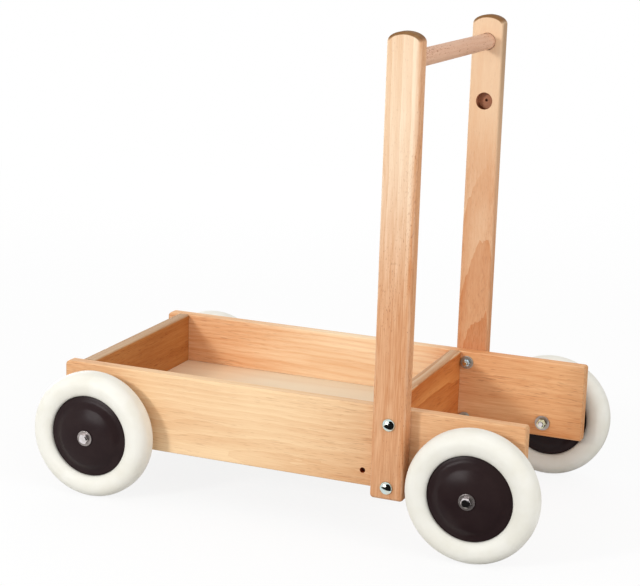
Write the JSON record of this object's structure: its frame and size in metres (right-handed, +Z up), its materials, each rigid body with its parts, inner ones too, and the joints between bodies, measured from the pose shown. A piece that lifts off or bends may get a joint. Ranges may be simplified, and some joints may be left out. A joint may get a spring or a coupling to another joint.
{
  "type": "wooden push walker",
  "caption": "Wooden toddler push walker: an open beech tray on rubber-tyred wheels, with bolted arched uprights, a dowel push bar and spare handle positions.",
  "frame": {"origin": "on the floor, midway between the four wheels", "axes": "+X to the rear, where the child walks; +Y to the right of the child, who faces -X; +Z up"},
  "size_m": [0.5674, 0.3486, 0.521],
  "materials": {
    "beech": "oiled, fine flecked straight grain",
    "birch_plywood": "sanded pale plywood",
    "white_rubber": "smooth off-white rubber",
    "dark_plastic": "satin moulded brown-black",
    "nylon": "natural nylon",
    "zinc_steel": "bright zinc plate"
  },
  "bodies": {
    "carriage": {"floor_panel": "birch_plywood", "front_cross_board": "beech", "front_left_axle_bolt": "zinc_steel", "front_left_board_washer": "zinc_steel", "front_left_lock_nut": "zinc_steel", "front_left_lower_dowel": "beech", "front_left_outer_washer": "zinc_steel", "front_left_spacer": "zinc_steel", "front_left_upper_dowel": "beech", "front_right_axle_bolt": "zinc_steel", "front_right_board_washer": "zinc_steel", "front_right_lock_nut": "zinc_steel", "front_right_lower_dowel": "beech", "front_right_outer_washer": "zinc_steel", "front_right_spacer": "zinc_steel", "front_right_upper_dowel": "beech", "handle_bar": "beech", "left_lower_bolt_nut": "zinc_steel", "left_lower_bolt_washer": "zinc_steel", "left_lower_carriage_bolt": "zinc_steel", "left_side_board": "beech", "left_upper_bolt_nut": "zinc_steel", "left_upper_bolt_washer": "zinc_steel", "left_upper_carriage_bolt": "zinc_steel", "left_upright": "beech", "rear_cross_board": "beech", "rear_left_axle_bolt": "zinc_steel", "rear_left_board_washer": "zinc_steel", "rear_left_lock_nut": "zinc_steel", "rear_left_lower_dowel": "beech", "rear_left_outer_washer": "zinc_steel", "rear_left_spacer": "zinc_steel", "rear_left_upper_dowel": "beech", "rear_right_axle_bolt": "zinc_steel", "rear_right_board_washer": "zinc_steel", "rear_right_lock_nut": "zinc_steel", "rear_right_lower_dowel": "beech", "rear_right_outer_washer": "zinc_steel", "rear_right_spacer": "zinc_steel", "rear_right_upper_dowel": "beech", "right_lower_bolt_nut": "zinc_steel", "right_lower_bolt_washer": "zinc_steel", "right_lower_carriage_bolt": "zinc_steel", "right_side_board": "beech", "right_upper_bolt_nut": "zinc_steel", "right_upper_bolt_washer": "zinc_steel", "right_upper_carriage_bolt": "zinc_steel", "right_upright": "beech"},
    "front_left_wheel": {"front_left_tyre": "white_rubber", "front_left_hub": "dark_plastic", "front_left_bush": "nylon"},
    "front_right_wheel": {"front_right_tyre": "white_rubber", "front_right_hub": "dark_plastic", "front_right_bush": "nylon"},
    "rear_left_wheel": {"rear_left_tyre": "white_rubber", "rear_left_hub": "dark_plastic", "rear_left_bush": "nylon"},
    "rear_right_wheel": {"rear_right_tyre": "white_rubber", "rear_right_hub": "dark_plastic", "rear_right_bush": "nylon"}
  },
  "joints": [
    {"name": "front_left_wheel_spin", "type": "hinge", "parent": "carriage", "child": "front_left_wheel", "pos_m": [-0.2145, -0.1502, 0.06925], "axis": [0, -1, 0], "continuous": true},
    {"name": "front_right_wheel_spin", "type": "hinge", "parent": "carriage", "child": "front_right_wheel", "pos_m": [-0.2145, 0.1502, 0.06925], "axis": [0, -1, 0], "continuous": true},
    {"name": "rear_left_wheel_spin", "type": "hinge", "parent": "carriage", "child": "rear_left_wheel", "pos_m": [0.2145, -0.1502, 0.06925], "axis": [0, -1, 0], "continuous": true},
    {"name": "rear_right_wheel_spin", "type": "hinge", "parent": "carriage", "child": "rear_right_wheel", "pos_m": [0.2145, 0.1502, 0.06925], "axis": [0, -1, 0], "continuous": true}
  ]
}
